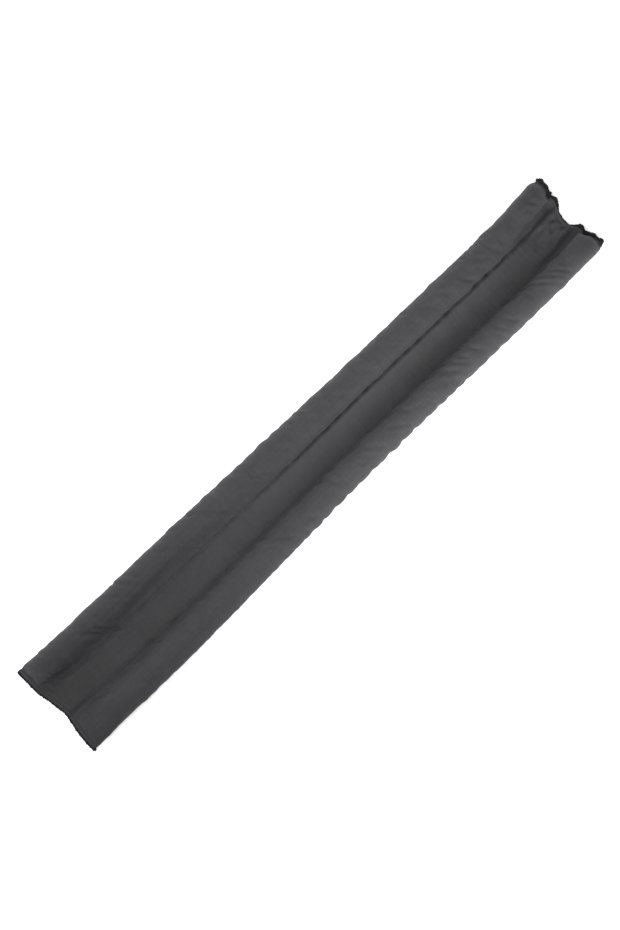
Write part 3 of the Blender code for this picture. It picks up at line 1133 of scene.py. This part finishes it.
# %% Bind both ends
SIZE_NAMES = "width rise thread pitch web_share wrap bead_pitch bead knot lump"
NEAR_SIZES = (1.8, 1.4, 0.32, 0.76, 0.90, 0.8, 6.4, 1.50, 1.7, 0.06)
FAR_SIZES = (4.4, 2.5, 0.46, 0.98, 0.50, 1.9, 9.0, 1.12, 1.0, 0.13)
Binding = namedtuple("Binding", "name node end " + SIZE_NAMES)
BINDINGS = (
    Binding("edge_overlock_near", "edge_thread_near", -1, *NEAR_SIZES),
    Binding("edge_overlock_far", "edge_thread_far", 1, *FAR_SIZES),
)
LUMP_RUNS = (1.7, 3.1)
BUNDLE_SHARE = 0.90
LOOP_SLANT = 0.20
SLANT_SPAN = (0.6, 1.4)
BEAD_SPAN = (0.8, 1.2)
LOOP_UNEVEN = 0.07
KNOT_TURNS = ((0.0, 0.0), (70.0, 20.0), (-60.0, 75.0), (20.0, -65.0))
KNOT_FILL = 0.92
KNOT_BACK = 0.6
SHARE_RUN = 7.0


def edge_size(y, binding):
    """The binding is full on the tubes and thinner over the web."""
    edge = binding.end * LENGTH / 2
    inside = min(LINES["seam_left"](edge) - y, y - LINES["seam_right"](edge))
    return mix(1.0, binding.web_share, ease(0.5 + inside / SHARE_RUN))


def bind_end(binding):
    row = 0 if binding.end < 0 else len(ROWS) - 1
    middle = [(cloth_at[row, k, 1] + cloth_at[row, k, 0]) / 2 for k in range(len(COLUMNS))]
    dice = random.Random(binding.name)
    reach = (binding.width + THREAD_GAP + binding.wrap) / 2 - binding.thread
    shape = loop_shape(reach, binding.rise - binding.thread, binding.thread)
    next_bead = binding.bead_pitch / 2
    bm = bmesh.new()
    ovals = []
    for number, (place, direction) in enumerate(along_curve(middle, binding.pitch * MM)):
        outwards = Vector((direction.y, -direction.x, 0.0)).normalized()
        if outwards.x * binding.end < 0:
            outwards = -outwards
        up = Vector((0.0, 0.0, 1.0))
        axes = Matrix((up.cross(outwards), up, outwards)).transposed().to_4x4()
        lump = 1.0 + binding.lump * sum(math.sin(number * binding.pitch / run) for run in LUMP_RUNS)
        uneven = dice.uniform(1.0 - LOOP_UNEVEN, 1.0 + LOOP_UNEVEN)
        size = edge_size(place.y / MM, binding) * lump * uneven
        centre = (binding.width * size + THREAD_GAP - binding.wrap) / 2
        there = Matrix.Translation(place + outwards * centre * MM) @ axes
        there = there @ Matrix.Diagonal((MM, MM, MM, 1.0))
        ovals.append((there, reach * size * BUNDLE_SHARE, (binding.rise - binding.thread) * size))
        if number * binding.pitch >= next_bead:
            size *= binding.bead
            next_bead += binding.bead_pitch * dice.uniform(*BEAD_SPAN)
        slant = Matrix.Identity(4)
        slant[0][2] = LOOP_SLANT * dice.uniform(*SLANT_SPAN)
        add_copy(bm, shape, there @ slant @ Matrix.Diagonal((size, size, size, 1.0)))
    add_bundle(bm, ovals)
    knot = binding.knot
    core = reach * knot * KNOT_FILL
    corner = ovals[0 if binding.end > 0 else -1][0] @ Matrix.Translation((0.0, 0.0, -KNOT_BACK * knot))
    add_copy(bm, stitch_shape(), corner @ Matrix.Diagonal((core, core, core, 1.0)))
    for turn, tip in KNOT_TURNS:
        turned = Matrix.Rotation(math.radians(turn), 4, "X") @ Matrix.Rotation(math.radians(tip), 4, "Y")
        add_copy(bm, shape, corner @ turned @ Matrix.Diagonal((knot, knot, knot, 1.0)))
    piece = add_piece(binding.name, bm, black_thread)
    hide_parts(binding.node)


for binding in BINDINGS:
    bind_end(binding)

# %% [markdown]
# ## The stage
# The photograph has a bright seamless ground. A pale floor under strong, even light goes white in
# the same way. A broad soft box hangs over the near end. A low one on the right is turned to the far
# half, where the web has a bright side, and a low one on the left lights the other flank. The view
# is Standard, so that the colours aren't bent.

# %% Floor and light
FLOOR_DROP = 0.0003
FLOOR_SIZE = 4.0
FLOOR_TONE = (0.93, 0.93, 0.93, 1.0)
FLOOR_GLOW = 0.33
SKY_STRENGTH = 0.35


def pale_floor():
    paint = Paint("pale_floor")
    constant = {"Base Color": FLOOR_TONE, "Emission Color": FLOOR_TONE, "Emission Strength": FLOOR_GLOW}
    return paint.finish({"Roughness": 0.9}, constant)


bm = bmesh.new()
bmesh.ops.create_grid(bm, x_segments=1, y_segments=1, size=FLOOR_SIZE)
bmesh.ops.translate(bm, verts=bm.verts, vec=(0.0, 0.0, -FLOOR_DROP))
floor_mesh = bpy.data.meshes.new("floor")
bm.to_mesh(floor_mesh)
bm.free()
floor_mesh.materials.append(pale_floor())
floor = bpy.data.objects.new("floor", floor_mesh)
bpy.context.scene.collection.objects.link(floor)

world = bpy.data.worlds.new("studio")
bpy.context.scene.world = world
world.use_nodes = True
world.node_tree.nodes["Background"].inputs["Color"].default_value = (1.0, 1.0, 1.0, 1.0)
world.node_tree.nodes["Background"].inputs["Strength"].default_value = SKY_STRENGTH

SoftBox = namedtuple("SoftBox", "name where aim size power")
SOFT_BOXES = (
    SoftBox("overhead", (-0.5, 0.25, 1.7), (-0.1, 0.0, 0.0), (1.4, 1.4), 33.0),
    SoftBox("low_on_the_right", (0.06, -0.52, 0.41), (0.84, -0.05, 0.0), (0.6, 0.5), 9.0),
    SoftBox("low_on_the_left", (0.05, 1.2, 0.24), (0.05, 0.0, 0.0), (1.6, 0.36), 12.0),
)
for box in SOFT_BOXES:
    data = bpy.data.lights.new(box.name, "AREA")
    data.shape = "RECTANGLE"
    data.size, data.size_y = box.size
    data.energy = box.power
    light = bpy.data.objects.new(box.name, data)
    bpy.context.scene.collection.objects.link(light)
    towards = Vector(box.aim) - Vector(box.where)
    turned = towards.to_track_quat("-Z", "Y").to_matrix().to_4x4()
    light.matrix_world = Matrix.Translation(box.where) @ turned
bpy.context.scene.view_settings.view_transform = "Standard"
print("lights:", [box.name for box in SOFT_BOXES])
